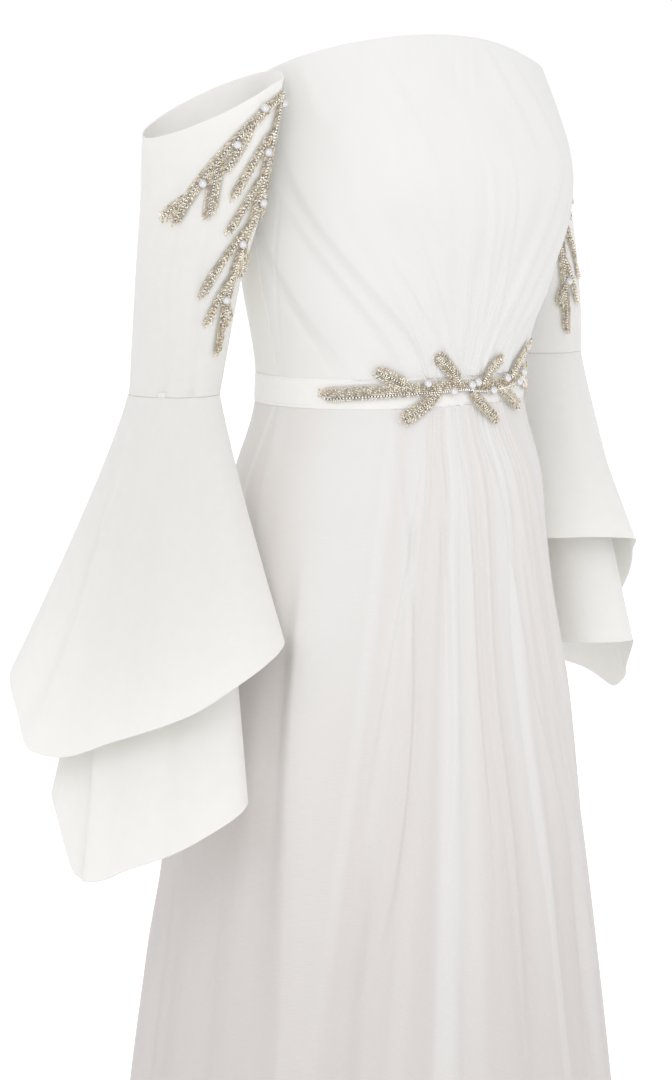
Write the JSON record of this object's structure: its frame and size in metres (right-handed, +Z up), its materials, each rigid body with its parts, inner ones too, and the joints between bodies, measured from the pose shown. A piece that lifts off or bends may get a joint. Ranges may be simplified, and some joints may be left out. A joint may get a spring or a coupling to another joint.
{
  "type": "evening gown",
  "caption": "Full-length gown with a draped strapless bodice, off-shoulder sleeves ending in tiered bell flounces, a narrow waistband and a gathered sheer skirt over a lining.",
  "frame": {"origin": "middle of the waist, halfway up the waistband, where the wearer holds the gown", "axes": "+X towards the wearer's left, -Y towards the front, +Z up towards the top edge of the bodice"},
  "size_m": [0.6518, 0.5357, 1.3711],
  "materials": {
    "bodice_front_chiffon": "sheer soft white chiffon",
    "bodice_back_left_crepe": "matt ivory crepe",
    "bodice_back_right_crepe": "matt ivory crepe",
    "waistband_satin": "smooth ivory satin",
    "skirt_front_chiffon": "sheer soft white chiffon",
    "skirt_back_left_chiffon": "sheer soft white chiffon",
    "skirt_back_right_chiffon": "sheer soft white chiffon",
    "underskirt_front_blush": "matt blush lining",
    "underskirt_back_blush": "matt blush lining",
    "sleeve_left_crepe": "matt ivory crepe",
    "sleeve_right_crepe": "matt ivory crepe",
    "upper_flounce_left_crepe": "matt ivory crepe",
    "upper_flounce_right_crepe": "matt ivory crepe",
    "lower_flounce_left_crepe": "matt ivory crepe",
    "lower_flounce_right_crepe": "matt ivory crepe",
    "waist_sprig_beading": "champagne glass beads, crystals and pearls on fine net",
    "sleeve_sprig_left_beading": "champagne glass beads, crystals and pearls on fine net",
    "sleeve_sprig_right_beading": "champagne glass beads, crystals and pearls on fine net",
    "zip_slider_zip": "painted metal",
    "zip_pull_zip": "painted metal"
  },
  "bodies": {
    "gown": {"bodice_front": "bodice_front_chiffon", "bodice_back_left": "bodice_back_left_crepe", "bodice_back_right": "bodice_back_right_crepe", "waistband": "waistband_satin", "skirt_front": "skirt_front_chiffon", "skirt_back_left": "skirt_back_left_chiffon", "skirt_back_right": "skirt_back_right_chiffon", "underskirt_front": "underskirt_front_blush", "underskirt_back": "underskirt_back_blush", "sleeve_left": "sleeve_left_crepe", "sleeve_right": "sleeve_right_crepe", "upper_flounce_left": "upper_flounce_left_crepe", "upper_flounce_right": "upper_flounce_right_crepe", "lower_flounce_left": "lower_flounce_left_crepe", "lower_flounce_right": "lower_flounce_right_crepe", "waist_sprig": "waist_sprig_beading", "sleeve_sprig_left": "sleeve_sprig_left_beading", "sleeve_sprig_right": "sleeve_sprig_right_beading", "zip_slider": "zip_slider_zip"},
    "pull_tab": {"zip_pull": "zip_pull_zip"}
  },
  "joints": [
    {"name": "pull_tab_hinge", "type": "hinge", "parent": "gown", "child": "pull_tab", "pos_m": [0, 0.10292, 0.214], "axis": [1, 0, 0], "range_deg": [0, 150]}
  ]
}
